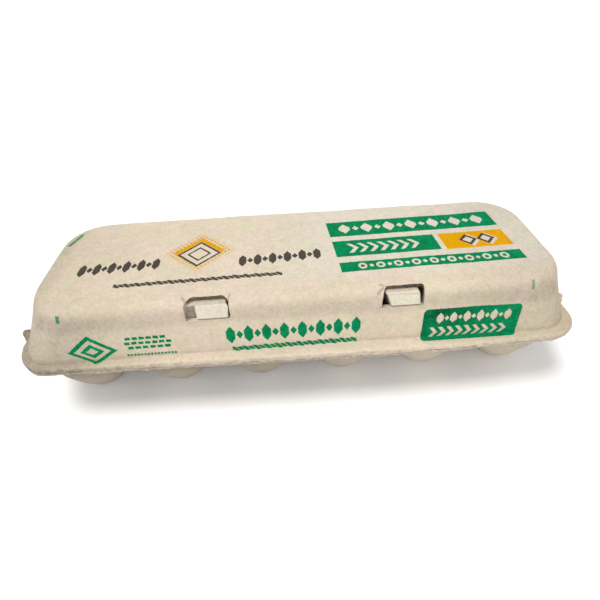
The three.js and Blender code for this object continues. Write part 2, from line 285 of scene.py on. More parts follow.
def inset_rings(size, insets, radius, bow, level, trim):
    """Rings of a rounded rectangle, one for each entry of the arrays, inset from the rim.

    The insets come in the order of SIDES. A corner point is the corner's centre plus the radius
    along its angle. The front edge is moved outwards by bow times one minus the square of the
    distance from mid-length. Trim, from 0 to 1, says how far a ring follows the rim's two quirks:
    a skew that moves this bulge to the right, and a tighter front right corner.
    """
    left, right, front, back, radius, bow, level, trim = (
        np.asarray(value)[:, None] for value in (*insets, radius, bow, level, trim)
    )
    left, right = left - size.half_length, size.half_length - right
    front, back = front - size.front, size.back - back
    ax, ay, aa, bx, by, ba, share = (row[None, :] for row in rounded_frame())

    def place(sx, sy, angle):
        turn = radius - size.rim_tight * trim * ((sx > 0) & (sy < 0))
        x = np.where(sx > 0, right - turn, left + turn) + turn * np.cos(angle)
        y = np.where(sy > 0, back - turn, front + turn) + turn * np.sin(angle)
        return x, y

    x1, y1 = place(ax, ay, aa)
    x2, y2 = place(bx, by, ba)
    x = x1 + (x2 - x1) * share
    y = y1 + (y2 - y1) * share
    along = (x - (left + right) / 2) / ((right - left) / 2 - radius * 0.6)
    bulge = np.where(y < front + radius, np.clip(1.0 - along * along, 0.0, None), 0.0)
    y = y - (bow + size.rim_skew * trim * along) * bulge
    return np.stack([x, y, np.broadcast_to(level, x.shape)], axis=-1)


def rings_to_spine(ring, steps):
    """Rings that shrink from one ring to a straight line along its middle, the line included."""
    middle = (ring[:, 0].min() + ring[:, 0].max()) / 2
    spine = ring.copy()
    spine[:, 0] = middle + np.clip(ring[:, 0] - middle, -HALF_SPINE, HALF_SPINE)
    spine[:, 1] = (ring[:, 1].min() + ring[:, 1].max()) / 2
    share = np.linspace(0.0, 1.0, steps + 1)[1:, None, None]
    return ring[None] + (spine - ring)[None] * share


def grid_normals(rings):
    """Unit normals of a stack of closed rings: the cross product of the ways round and up."""
    around = np.roll(rings, -1, axis=1) - np.roll(rings, 1, axis=1)
    up = np.gradient(rings, axis=0)
    normal = np.cross(around, up)
    size = np.linalg.norm(normal, axis=-1, keepdims=True)
    return normal / np.maximum(size, 1e-9)


def ring_faces(count, around):
    """Four-sided faces between neighbouring rings, facing outwards for rings stacked upwards."""
    row = np.arange(count - 1)[:, None] * around
    col = np.arange(around)[None, :]
    nxt = (col + 1) % around
    quads = np.stack([row + col, row + nxt, row + around + nxt, row + around + col], axis=-1)
    return quads.reshape(-1, 4)


def new_object(name, points, quads, weld=1e-6):
    """A mesh object from points in millimetres and four-sided faces, welded at its seams."""
    mesh = bpy.data.meshes.new(name)
    flat = np.asarray(points, dtype=float).reshape(-1, 3) * MM
    mesh.vertices.add(len(flat))
    mesh.vertices.foreach_set("co", flat.ravel())
    mesh.loops.add(quads.size)
    mesh.loops.foreach_set("vertex_index", quads.ravel().astype(np.int32))
    mesh.polygons.add(len(quads))
    mesh.polygons.foreach_set("loop_start", np.arange(len(quads), dtype=np.int32) * 4)
    mesh.update(calc_edges=True)
    tidy = bmesh.new()
    tidy.from_mesh(mesh)
    bmesh.ops.remove_doubles(tidy, verts=tidy.verts, dist=weld)
    bmesh.ops.dissolve_degenerate(tidy, edges=tidy.edges, dist=weld)
    ends = [edge for edge in tidy.edges if edge.is_boundary]
    if ends:
        bmesh.ops.holes_fill(tidy, edges=ends, sides=0)
    bmesh.ops.recalc_face_normals(tidy, faces=tidy.faces)
    tidy.to_mesh(mesh)
    tidy.free()
    piece = bpy.data.objects.new(name, mesh)
    bpy.context.scene.collection.objects.link(piece)
    return piece


def combine(piece, other, operation, tolerant=False):
    """Joins or cuts one object by another, keeps the result in the first and removes the other.

    The tolerant way also copes with a slit in a surface, such as the seam along a web's middle.
    """
    step = piece.modifiers.new("combine", "BOOLEAN")
    step.operation = operation
    step.solver = "EXACT"
    step.use_hole_tolerant = tolerant
    step.material_mode = "TRANSFER" if piece.data.materials else "INDEX"
    step.object = other
    graph = bpy.context.evaluated_depsgraph_get()
    result = bpy.data.meshes.new_from_object(piece.evaluated_get(graph))
    piece.modifiers.clear()
    old = piece.data
    result.name = old.name
    piece.data = result
    bpy.data.meshes.remove(old)
    bpy.data.objects.remove(other)
    if not len(piece.data.polygons):
        raise RuntimeError(f"{piece.name}: the {operation.lower()} left no faces")


def smooth(piece, degrees):
    """Smooth shading with hard edges where faces meet at more than the given angle."""
    mesh = piece.data
    mesh.polygons.foreach_set("use_smooth", np.ones(len(mesh.polygons), dtype=bool))
    mesh.set_sharp_from_angle(angle=math.radians(degrees))
    mesh.update()


def finish(piece, node, material):
    """Dresses a piece, puts it in place of a CAD node and lets it ride on the carton."""
    if not piece.data.materials:
        piece.data.materials.append(material)
    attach(piece, "root")
    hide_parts(node)


def wall_share(size, level):
    """The share of the way up the wall from its foot to the lid's top."""
    foot = size.rim_top + size.foot_height
    return (level - foot) / (size.height - foot)


def wall_inset(size, side, level):
    """How far a wall stands in from the rim: a straight lean plus a half sine hollow or belly."""
    share = wall_share(size, level)
    low, high = getattr(size, f"foot_{side}"), getattr(size, f"inset_{side}")
    curve = -size.front_belly if side == "front" else size.hollow
    return low + (high - low) * share + curve * np.sin(np.pi * share)


def front_wall(size, level):
    """The Y of the front wall's face at a level, where the windows are."""
    dip = size.front_dip * DIP_AT_WINDOWS * (1 - wall_share(size, level))
    return -size.front + wall_inset(size, "front", level) + dip


def lid_rings(size):
    """The lid from the seam to the top's edge.

    The lip is a quarter round. A quarter ellipse turns from the flange up into the wall at the
    crease. The wall leans in, and a parabola rounds the shoulder from the wall's line to the top.
    """
    top = size.rim_top
    foot = top + size.foot_height
    base = size.height - size.shoulder
    rows = []

    def walls(level):
        return np.array([wall_inset(size, side, level) for side in SIDES])

    def blend(low, high, share):
        return low + (high - low) * share

    def row(insets, radius, bow, level, trim=0.0):
        rows.append([*insets, radius, bow, level, trim])

    def rim_row(inset, level):
        row([inset] * 4, size.rim_radius - inset, size.rim_bow, level, 1.0)

    def crease_row(out, level):
        bow = size.rim_bow - (size.front_dip + size.rim_bow) * out
        row(walls(foot) * out, blend(size.rim_radius, size.foot_radius, out), bow, level, 1.0 - out)

    eased = [(7.0, 0.0), (2.5, 0.0), (0.35, 0.01), (0.1, 0.07), (0.0, 0.25), (0.0, 0.9)]
    for inset, above in eased:
        rim_row(inset, size.rim_seam + HALF_SEAM + above)
    for turn in np.linspace(0.0, np.pi / 2, 9):
        rim_row(size.lip * (1 - np.cos(turn)), top - size.lip * (1 - np.sin(turn)))
    for out in (0.56, 0.68):
        crease_row(out, top)
    for turn in np.linspace(0.0, np.pi / 2, 8):
        crease_row(0.76 + 0.24 * np.sin(turn), top + size.foot_height * (1 - np.cos(turn)))
    for level in foot + (base - foot) * np.linspace(0.0, 1.0, 17)[1:] ** 1.3:
        share = wall_share(size, level)
        radius = blend(size.foot_radius, size.top_radius, share)
        row(walls(level), radius, -size.front_dip * (1 - share), level)
    share = wall_share(size, base)
    radius = blend(size.foot_radius, size.top_radius, share)
    low, knee = walls(base), walls(size.height)
    high = low + size.shoulder
    for t in np.linspace(0.0, 1.0, 15)[1:]:
        insets = low * (1 - t) ** 2 + knee * 2 * t * (1 - t) + high * t * t
        level = base + size.shoulder * (1 - (1 - t) ** 2)
        dip = size.front_dip * (1 - share) * (1 - t)
        row(insets, radius - size.shoulder * 0.7 * t * t, -dip, level)
    columns = np.array(rows).T
    return inset_rings(size, columns[:4], *columns[4:])


def roughened(rings, size, seed, edge_low, edge_high, calm_below):
    """Moves a surface along its normals by soft noise, and its trimmed edge by finer noise.

    The fine noise is full between the two edge levels and fades over 1.5 mm beyond them. The soft
    noise grows from nothing over the 3 mm above the calm level.
    """
    normal = grid_normals(rings)
    level = rings[..., 2]
    broad = soft_noise(rings, 46.0, seed) + soft_noise(rings, 13.0, seed + 1) * 0.35
    fine = soft_noise(rings, 7.0, seed + 2, 26) * 0.8 + soft_noise(rings, 2.4, seed + 3, 26) * 0.6
    away = np.maximum(edge_low - level, level - edge_high)
    edge = np.clip(1.0 - away / 1.5, 0.0, 1.0)
    edge *= np.clip(1.0 - rim_distance(rings, size) / 3.0, 0.0, 1.0)
    move = broad * size.waviness * np.clip((level - calm_below) / 3.0, 0.0, 1.0)
    moved = rings + normal * move[..., None]
    normal[..., 2] *= 0.35
    return moved + normal * (fine * edge * size.ragged)[..., None]


def rim_distance(rings, size):
    """How far each point stands in from the rim's straight sides."""
    x = size.half_length - np.abs(rings[..., 0])
    y = np.minimum(rings[..., 1] + size.front, size.back - rings[..., 1])
    return np.clip(np.minimum(x, y), 0.0, None)


def ear_points(side, low, high, size, seed):
    """A small ear on the rim's end between two levels: its rounded plan, with eased faces."""
    edge = side * size.half_length
    tip = edge + side * EAR_REACH
    plan = [
        (edge - side * 6.0, EAR_FRONT),
        (edge - side * 0.3, EAR_FRONT),
        (tip, EAR_BACK - EAR_WIDTH),
        (tip, EAR_BACK),
        (edge - side * 6.0, EAR_BACK),
    ]
    plan = dense_outline(rounded_section(plan, 1.1), 0.35)
    centre = plan.mean(axis=0)
    shrink = np.array([0.96, 1.0, 1.0, 1.0, 0.96])[:, None, None]
    levels = [low, low + 0.25, (low + high) / 2, high - 0.25, high]
    points = at_levels(centre + (plan - centre)[None] * shrink, levels)
    points[..., :2] += outward(plan) * soft_noise(points, 3.5, seed)[..., None] * 0.25
    return points


def add_ears(piece, size, low, high, seed):
    """Joins an ear to each end of a flange, between two levels."""
    for side in (-1, 1):
        points = ear_points(side, low, high, size, seed + side)
        combine(piece, closed_stack("ear", points), "UNION")


def outward(section):
    """Unit vectors from a section's middle to its points."""
    return unit(section - section.mean(axis=0))


def at_levels(flat, levels):
    """Plans stacked at levels: their X and Y, with the level as Z."""
    z = np.broadcast_to(np.array(levels)[:, None, None], (*flat.shape[:2], 1))
    return np.concatenate([flat, z], axis=-1)


def dense_outline(corners, spacing):
    """A closed outline with evenly spaced points, by its length from the first corner."""
    closed = np.vstack([corners, corners[:1]])
    run = np.concatenate([[0.0], np.cumsum(np.linalg.norm(np.diff(closed, axis=0), axis=1))])
    place = np.linspace(0.0, run[-1], int(run[-1] / spacing) + 1)[:-1]
    return np.column_stack([np.interp(place, run, closed[:, k]) for k in range(2)])


def closed_stack(name, points):
    """An object from stacked rings whose open ends are filled with flat faces."""
    return new_object(name, points, ring_faces(points.shape[0], points.shape[1]))


def many_stacks(name, stacks):
    """One object from several separate stacks of rings."""
    first = np.cumsum([0] + [stack.shape[0] * stack.shape[1] for stack in stacks])
    faces = [ring_faces(*stack.shape[:2]) + start for stack, start in zip(stacks, first)]
    points = [stack.reshape(-1, 3) for stack in stacks]
    return new_object(name, np.vstack(points), np.vstack(faces))


def window_cutters(size, window):
    """The slot over the shoulder and the deeper pocket under the shell, as two closed bodies.

    The slot's sides are uneven by a fifth of a millimetre, as punched wet pulp is.
    """
    low, high, rear = window.low, window.high, window.rear
    ahead = -size.front - 12
    plan = [
        (low, ahead),
        (high, ahead),
        (high, rear - window.corner_high),
        (high - window.corner_high, rear),
        (low + window.corner_low[0], rear),
        (low, rear - window.corner_low[1]),
    ]
    plan = dense_outline(rounded_section(plan, 0.9), 0.7)
    levels = np.linspace(WINDOW_SILL, size.height + 6, 24)
    slot = at_levels(np.broadcast_to(plan, (len(levels), *plan.shape)), levels)
    uneven = soft_noise(slot, 4.5, 61, 30) + soft_noise(slot, 1.8, 62, 30) * 0.5
    slot[..., :2] += outward(plan) * uneven[..., None] * 0.22
    section = [
        (front_wall(size, POCKET_FLOOR) + SHELL, POCKET_FLOOR),
        (POCKET_REAR, POCKET_FLOOR),
        (POCKET_REAR, POCKET_CEILING),
        (front_wall(size, POCKET_CEILING) + SHELL, POCKET_CEILING),
    ]
    ends = [low - POCKET_MARGIN, high + POCKET_MARGIN]
    pocket = np.array([[(x, y, z) for y, z in section] for x in ends])
    name = window.name
    return [closed_stack(f"slot_{name}", slot), closed_stack(f"pocket_{name}", pocket)]


def rounded_section(corners, radius, steps=4):
    """A polygon whose corners are parabolas between points a radius away on their sides."""
    corners = np.asarray(corners, dtype=float)
    points = []
    for index, corner in enumerate(corners):
        before = corners[index - 1] - corner
        after = corners[(index + 1) % len(corners)] - corner
        reach = min(radius, np.linalg.norm(before) * 0.45, np.linalg.norm(after) * 0.45)
        start = corner + unit(before) * reach
        end = corner + unit(after) * reach
        t = np.linspace(0.0, 1.0, steps + 1)[:, None]
        points.append(start * (1 - t) ** 2 + corner * 2 * t * (1 - t) + end * t * t)
    return np.vstack(points)


def stem_face(size, level):
    """The Y of a locking tab's stem, a gap behind the lid's shell."""
    return front_wall(size, level) + SHELL + TAB_GAP


def tab_points(size, window):
    """A locking tab as rings along X: a rounded Y-Z section whose ends draw in like a pillow's.

    The head leans along X with height, widens behind its face on the left and narrows on the
    right. Its top rises a little towards the rear.
    """
    floor = POCKET_FLOOR + TAB_GAP
    nose = front_wall(size, TAB_TOP) + TAB_SET_BACK
    corners = [
        (stem_face(size, floor), floor),
        (TAB_REAR, floor),
        (TAB_REAR, TAB_TOP),
        (nose + 0.5, TAB_TOP),
        (front_wall(size, TAB_HEAD_BOTTOM) + TAB_SET_BACK, TAB_HEAD_BOTTOM),
        (stem_face(size, TAB_HEAD_BOTTOM), TAB_HEAD_BOTTOM),
    ]
    section = rounded_section(corners, 0.9)
    share = np.array([0.0, 0.012, 0.035, 0.07, 0.2, 0.4, 0.6, 0.8, 0.93, 0.965, 0.988, 1.0])
    ends = np.minimum(share, 1 - share) / 0.07
    draw = 0.45 * (1 - np.sqrt(np.clip(1 - (1 - np.clip(ends, 0, 1)) ** 2, 0, 1)))
    rings = section[None] - outward(section)[None] * draw[:, None, None]
    part = share[:, None]
    y, z = rings[..., 0], rings[..., 1]
    depth = np.clip((y - nose) / (TAB_REAR - nose), 0.0, 1.0)
    drop = (TAB_TOP - z) / (TAB_TOP - floor)
    flare = window.flare * np.minimum(1.0, depth * 4.5) * (1 - drop)
    tuck = window.tuck * np.minimum(1.0, depth * 2.7) * (1 - drop)
    low = window.tab_low - flare + 0.3 * drop
    high = window.tab_high - tuck - 0.3 * drop
    middle = (TAB_TOP + TAB_HEAD_BOTTOM) / 2
    rise = (np.maximum(z, TAB_HEAD_BOTTOM) - middle) / (TAB_TOP - TAB_HEAD_BOTTOM)
    x = (low + window.lean_low * rise) * (1 - part)
    x = x + (high + window.lean_high * rise) * part
    lift = 0.5 * np.clip((y - nose) / 3.0, 0.0, 1.0) * np.clip(z - TAB_TOP + 1.5, 0.0, 1.0)
    return np.stack([x, y, z + lift], axis=-1)


def wing_points(size, window):
    """The set-back wing beside a tab's head: a rounded bar that follows the stem's face."""
    floor = POCKET_FLOOR + TAB_GAP
    top = TAB_TOP - 0.05
    corners = [
        (stem_face(size, floor), floor),
        (TAB_REAR + 0.1, floor),
        (TAB_REAR + 0.1, top),
        (stem_face(size, TAB_TOP), top),
    ]
    section = rounded_section(corners, 0.7)
    share = np.linspace(0.0, 1.0, 24)[:, None, None]
    pull = 0.4 * np.clip(1 - share / 0.06, 0.0, 1.0) ** 2
    rings = section[None] - outward(section)[None] * pull
    x = window.tab_low - window.wing * (1 - share) + 2.0 * share
    points = np.concatenate([np.broadcast_to(x, (*rings.shape[:2], 1)), rings], axis=-1)
    lift = 0.4 * np.clip((points[..., 1] + 40.0) / 2.0, 0.0, 1.0)
    points[..., 2] += lift * (points[..., 2] > TAB_TOP - 1)
    points[..., 1] += soft_noise(points, 4.0, 91) * 0.12
    return points


def cup_points(size, x, y, seed):
    """One cup: an ellipse's quarter turned about its axis, from a flat foot to a squarer mouth.

    Half-way up it is drawn in a little by a squared sine.
    """
    turn = np.linspace(0.0, 2 * np.pi, 96, endpoint=False)[None]
    angle = np.linspace(0.0, np.pi / 2, 30)[:, None]
    level = size.cup_depth * (1 - np.cos(angle))
    radius = size.cup_foot + (size.cup_mouth - size.cup_foot) * np.sin(angle)
    radius = radius - size.cup_pinch * np.sin(2 * angle) ** 2
    flare = 1.1 * np.exp(-((level - size.web_bottom) / 1.3) ** 2)
    power = 2 + 0.7 * np.sin(angle) ** 3
    stretch = (np.abs(np.cos(turn)) ** power + np.abs(np.sin(turn)) ** power) ** (-1 / power)
    reach = (radius + flare) * stretch
    px = x + reach * np.cos(turn)
    py = y + reach * np.sin(turn)
    points = np.stack([px, py, np.broadcast_to(level, px.shape)], axis=-1)
    uneven = soft_noise(points, 17.0, seed) * 0.3 + soft_noise(points, 5.0, seed + 1) * 0.07
    fade = np.clip(level / 4.0, 0.0, 1.0)
    points += grid_normals(points) * (uneven * fade)[..., None]
    share = np.linspace(0.0, 1.0, 5)[:-1, None, None]
    hub = np.array([x, y, 0.0])
    foot = hub + (points[0] - hub) * share
    top = np.array([x, y, size.cup_depth])
    cap = points[-1] + (top - points[-1]) * np.array([0.5, 1.0])[:, None, None]
    return np.concatenate([foot, points, cap])


def hollow_points(size, x):
    """The hollow under a post between four cups: circles that narrow evenly on the way up."""
    turn = np.linspace(0.0, 2 * np.pi, 48, endpoint=False)
    radius = np.array([POST_HOLLOW_WIDE, POST_HOLLOW_NARROW])[:, None]
    flat = np.stack([x + radius * np.cos(turn), radius * np.sin(turn)], axis=-1)
    return at_levels(flat, [size.web_bottom - 6.0, POST_HOLLOW_TOP])


def tray_rings(size):
    """The tray's flange and web, from the web's lower face up to the seam."""
    seam = size.rim_seam - HALF_SEAM
    low = size.rim_bottom
    web, under = size.web_inset, size.web_bottom
    rows = [
        (web + 2.4, under, 0.0),
        (web + 1.4, under + 0.5, 0.0),
        (web + 0.6, under + 2.5, 0.0),
        (web, low - 1.2, 0.3),
        (web - 0.5, low - 0.3, 0.6),
        (web - 1.6, low, 1.0),
        (2.5, low, 1.0),
        (0.6, low + 0.03, 1.0),
        (0.15, low + 0.2, 1.0),
        (0.0, low + 0.5, 1.0),
        (0.0, seam - 0.25, 1.0),
        (0.1, seam - 0.07, 1.0),
        (0.35, seam, 1.0),
        (2.5, seam, 1.0),
    ]
    inset, level, trim = np.array(rows).T
    radius = size.rim_radius - inset
    return inset_rings(size, [inset] * 4, radius, size.rim_bow * trim, level, trim)


# ---- materials ----


def maths(operation, turned=False):
    """A method that adds a Math node with its own wire first or, when turned, last."""

    def method(self, *others):
        values = (*others, self) if turned else (self, *others)
        return self.paint.maths(operation, *values)

    return method


class Wire:
    """A socket in a material. Arithmetic on it adds Math or Vector Math nodes."""

    __add__, __radd__ = maths("ADD"), maths("ADD", True)
    __sub__, __rsub__ = maths("SUBTRACT"), maths("SUBTRACT", True)
    __mul__, __rmul__ = maths("MULTIPLY"), maths("MULTIPLY", True)
    __truediv__ = maths("DIVIDE")
    __abs__ = maths("ABSOLUTE")
    least, most = maths("MINIMUM"), maths("MAXIMUM")
    floor, fraction, root = maths("FLOOR"), maths("FRACT"), maths("SQRT")

    def __init__(self, paint, socket):
        self.paint = paint
        self.socket = socket

    @property
    def is_vector(self):
        return self.socket.type in {"VECTOR", "RGBA"}

    def parts(self):
        """The X, Y and Z of a vector."""
        node = self.paint.node("ShaderNodeSeparateXYZ", Vector=self)
        return [Wire(self.paint, output) for output in node.outputs]

    def step(self, low, high, start=0.0, end=1.0):
        """A smooth step from start to end while this goes from low to high."""
        node = self.paint.node(
            "ShaderNodeMapRange",
            settings={"interpolation_type": "SMOOTHSTEP"},
            Value=self,
            From_Min=low,
            From_Max=high,
            To_Min=start,
            To_Max=end,
        )
        return Wire(self.paint, node.outputs[0])

    def fall(self, low, high):
        """A smooth step from one to zero while this goes from low to high."""
        return self.step(low, high, 1.0, 0.0)

    def within(self, reach, soft=MARK_EDGE):
        """One where this is less than the reach, with a soft edge."""
        return self.fall(reach - soft, reach + soft)


class Paint:
    """One material and the nodes that its expressions add."""

    def __init__(self, name):
        self.material = bpy.data.materials.new(name)
        self.material.use_nodes = True
        self.tree = self.material.node_tree
        self.tree.nodes.clear()
        self.output = self.tree.nodes.new("ShaderNodeOutputMaterial")

    def feed(self, socket, value):
        """Links a wire to a socket, or sets the socket to a plain value."""
        if isinstance(value, Wire):
            self.tree.links.new(value.socket, socket)
        elif socket.type == "VECTOR" and not hasattr(value, "__len__"):
            socket.default_value = (value, value, value)
        elif socket.type == "RGBA" and len(value) == 3:
            socket.default_value = (*value, 1.0)
        else:
            socket.default_value = value

    def node(self, kind, settings=None, **inputs):
        """Adds any node, sets its fields and feeds its inputs by name, with _ for a space."""
        node = self.tree.nodes.new(kind)
        for field, value in (settings or {}).items():
            setattr(node, field, value)
        for name, value in inputs.items():
            self.feed(node.inputs[name.replace("_", " ")], value)
        return node

    def maths(self, operation, *values):
        vector = any(
            value.is_vector if isinstance(value, Wire) else hasattr(value, "__len__")
            for value in values
        )
        kind = "ShaderNodeVectorMath" if vector else "ShaderNodeMath"
        node = self.tree.nodes.new(kind)
        node.operation = operation
        for socket, value in zip(node.inputs, values):
            self.feed(socket, value)
        return Wire(self, node.outputs[0])

    def mix(self, share, first, second):
        """A colour between two, by share."""
        node = self.tree.nodes.new("ShaderNodeMix")
        node.data_type = "RGBA"
        for index, value in ((0, share), (6, first), (7, second)):
            self.feed(node.inputs[index], value)
        return Wire(self, node.outputs[2])

    def position(self):
        """The place on the object, in millimetres."""
        node = self.tree.nodes.new("ShaderNodeTexCoord")
        return Wire(self, node.outputs["Object"]) * (1.0 / MM)

    def noise(self, place, scale, detail=2.0, rough=0.5, warp=0.0):
        node = self.node(
            "ShaderNodeTexNoise",
            Vector=place,
            Scale=scale,
            Detail=detail,
            Roughness=rough,
            Distortion=warp,
        )
        return Wire(self, node.outputs[0])

    def cells(self, place, scale):
        """Distance to, and a random value of, the nearest of scattered points."""
        node = self.node("ShaderNodeTexVoronoi", Vector=place, Scale=scale)
        shade = self.node("ShaderNodeSeparateColor", Color=Wire(self, node.outputs["Color"]))
        return Wire(self, node.outputs["Distance"]), Wire(self, shade.outputs[0])

    def finish(self, base, roughness, height, depth):
        """Ends the material: a matt shader with a bump whose depth is in millimetres."""
        bump = self.node("ShaderNodeBump", Strength=1.0, Distance=depth * MM, Height=height)
        shader = self.node(
            "ShaderNodeBsdfPrincipled",
            Base_Color=base,
            Roughness=roughness,
            Specular_IOR_Level=0.06,
            Normal=Wire(self, bump.outputs[0]),
        )
        self.tree.links.new(shader.outputs[0], self.output.inputs[0])
        return self.material


def union(masks):
    """The largest of several masks at each place."""
    return reduce(Wire.most, masks)


def oblong(x, y, low, high, bottom, top):
    """A rectangle's mask: one inside, with a soft edge."""
    out = abs(x - (low + high) / 2) - (high - low) / 2
    up = abs(y - (bottom + top) / 2) - (top - bottom) / 2
    return out.most(up).within(0.0, FIELD_EDGE)


def soft_oblong(x, y, low, high, bottom, top, radius):
    """A rectangle's mask with round corners."""
    out = (abs(x - (low + high) / 2) - ((high - low) / 2 - radius)).most(0.0)
    up = (abs(y - (bottom + top) / 2) - ((top - bottom) / 2 - radius)).most(0.0)
    return (out * out + up * up).root().within(radius, FIELD_EDGE)


def lozenge(x, y, cx, cy, half_width, half_height, edge=0.02):
    """A rhombus mask: one where the two scaled distances add up to less than one."""
    return (abs(x - cx) / half_width + abs(y - cy) / half_height).within(1.0, edge)


def cells_along(x, low, high, count):
    """Splits a row into equal cells: the distance from the cell's middle, and 0 or 1 in turn."""
    pitch = (high - low) / count
    place = (x - low) / pitch
    turn = (place.floor() * 0.5).fraction() * 2.0
    return (place.fraction() - 0.5) * pitch, turn


def in_row(x, y, low, high, middle, reach=ROW_REACH):
    """The mask of a whole row of marks, so that no cell shows past its ends."""
    return oblong(x, y, low, high, middle - reach, middle + reach)


def lozenge_row(x, y, low, high, middle, big, small, count):
    """Large and small lozenges in turn. Big and small give half a width and half a height each."""
    across, turn = cells_along(x, low, high, count)
    width = turn * (small[0] - big[0]) + big[0]
    height = turn * (small[1] - big[1]) + big[1]
    reach = abs(across) / width + abs(y - middle) / height
    return reach.within(1.0, 0.06) * in_row(x, y, low, high, middle)


def bar_row(x, y, low, high, middle, tall, short, half_width, count, slant):
    """Slanted bars, tall and short in turn, with round ends."""
    across, turn = cells_along(x + (y - middle) * slant, low, high, count)
    height = turn * (short - tall) + tall
    out = (abs(across) - half_width * 0.4).most(0.0)
    up = (abs(y - middle) - height + half_width * 0.6).most(0.0)
    reach = (out * out + up * up).root()
    return reach.within(half_width * 0.6) * in_row(x, y, low, high, middle)


def dash_row(x, y, low, high, middle, half, count, fullness=0.78):
    """A line of equal flat dashes."""
    across, _ = cells_along(x, low, high, count)
    half_width = (high - low) / count * fullness / 2
    return abs(across).within(half_width) * in_row(x, y, low, high, middle, half)


def chevron_row(x, y, low, high, middle, half, count, fullness):
    """A row of arrow-shaped stripes that point along X: dashes swept back from the middle."""
    swept = x + abs(y - middle) * 0.85
    return dash_row(swept, y, low, high, middle, half, count, fullness)


def ring_row(x, y, low, high, middle, outer, inner, count):
    """Round rings and round dots in turn."""
    across, turn = cells_along(x, low, high, count)
    up = y - middle
    reach = (across * across + up * up).root()
    whole = reach.within(outer) * (1.0 - turn)
    hole = reach.within(inner)
    return (whole * (1.0 - hole) + hole * turn) * in_row(x, y, low, high, middle)


def lozenge_frame(x, y, cx, cy, half_width, half_height, line):
    """The outline of a rhombus, with its line's share of the size."""
    outer = lozenge(x, y, cx, cy, half_width, half_height, 0.025)
    inner = lozenge(x, y, cx, cy, half_width * (1 - line), half_height * (1 - line), 0.03)
    return outer * (1.0 - inner)


def top_print(x, y):
    """Green, orange and black masks of the flat top, in X and Y."""
    u = x + y * 0.07
    v = y - (x - 70.0) * 0.02
    fields = ((117.9, 6.3, 20.9), (78.2, -12.2, 1.9), (117.6, -24.8, -17.1))
    green = union(oblong(u, v, 21.8, *field) for field in fields)
    bare = lozenge_row(u, v, 28.0, 112.0, 13.6, (4.2, 4.6), (2.0, 2.1), 13)
    bare = bare.most(chevron_row(u, v, 31.0, 70.0, -5.1, 4.0, 7, 0.44))
    bare = bare.most(ring_row(u, v, 31.0, 110.0, -20.9, 2.3, 1.1, 17))
    green = green * (1.0 - bare)

    # The orange field holds two dark lozenges on pale ones.
    orange = oblong(u, v, 81.0, 117.4, -12.6, 1.9)
    pale = union(lozenge(u, v, middle, -5.9, 5.6, 5.4) for middle in (96.6, 106.4))
    dark = [lozenge_frame(u, v, middle, -5.3, 5.0, 4.9, 0.42) for middle in (95.4, 105.2)]
    orange = orange * (1.0 - pale)

    # The middle figure: small orange lozenges round a dark double frame.
    mesh_x, _ = cells_along(x + y, -130.0, 30.0, 48)
    mesh_y, _ = cells_along(x - y, -130.0, 30.0, 48)
    lattice = abs(mesh_x).most(abs(mesh_y)).fall(0.95, 1.25)
    reach = abs(x + 51.0) / 21.5 + abs(y) / 19.0
    halo = reach.fall(0.72, 1.04) * lattice.most(reach.fall(0.62, 0.70))
    orange = orange.most(halo * (1.0 - lozenge(x, y, -51.0, -2.0, 12.2, 11.4)))
    dark.append(lozenge_frame(x, y, -51.0, -2.0, 12.0, 11.2, 0.15))
    dark.append(lozenge_frame(x, y, -51.0, -2.0, 6.6, 6.2, 0.22))

    # Dark rows on both sides of it, and a slanted one in front.
    left = y - (x + 90.0) * 0.05
    dark.append(lozenge_row(x, left, -113.0, -71.0, -9.4, (3.7, 5.0), (1.7, 2.3), 11))
    right = y - (x + 8.0) * 0.05
    dark.append(lozenge_row(x, right, -29.0, 14.5, -9.8, (3.7, 4.8), (1.7, 2.2), 11))
    line = y - (x + 50.0) * 0.024
    dark.append(bar_row(x, line, -91.0, -6.5, -24.0, 1.6, 1.15, 1.25, 31, 0.9))
    return green, orange, union(dark)


def front_print(x, z):
    """Green mask of the front wall, in X and a level that runs on over the flange."""
    green = [
        lozenge_frame(x, z, -103.8, 45.6, 12.4, 9.0, 0.26),
        lozenge_frame(x, z, -103.8, 45.6, 6.2, 4.5, 0.5),
        dash_row(x, z, -86.5, -66.0, 51.3, 0.78, 6),
        dash_row(x, z, -87.5, -63.5, 48.7, 0.78, 7),
        dash_row(x, z, -86.5, -64.5, 46.1, 0.78, 6),
        dash_row(x, z, -88.0, -62.5, 41.5, 0.7, 15, 0.7),
    ]
    row = z - (x + 2.0) * 0.012
    green.append(lozenge_row(x, row, -36.5, 31.0, 49.6, (3.9, 4.8), (1.8, 2.3), 15))
    green.append(bar_row(x, row, -34.5, 29.5, 41.2, 1.75, 1.3, 1.25, 23, 0.8))
    panel = soft_oblong(x, z, 62.6, 112.2, 36.4, 55.9, 2.2)
    cut = lozenge_row(x, z, 69.5, 107.5, 50.6, (2.7, 3.1), (1.2, 1.3), 11)
    cut = cut.most(chevron_row(x, z, 68.0, 108.0, 42.6, 3.0, 9, 0.46))
    return union([*green, panel * (1.0 - cut)])


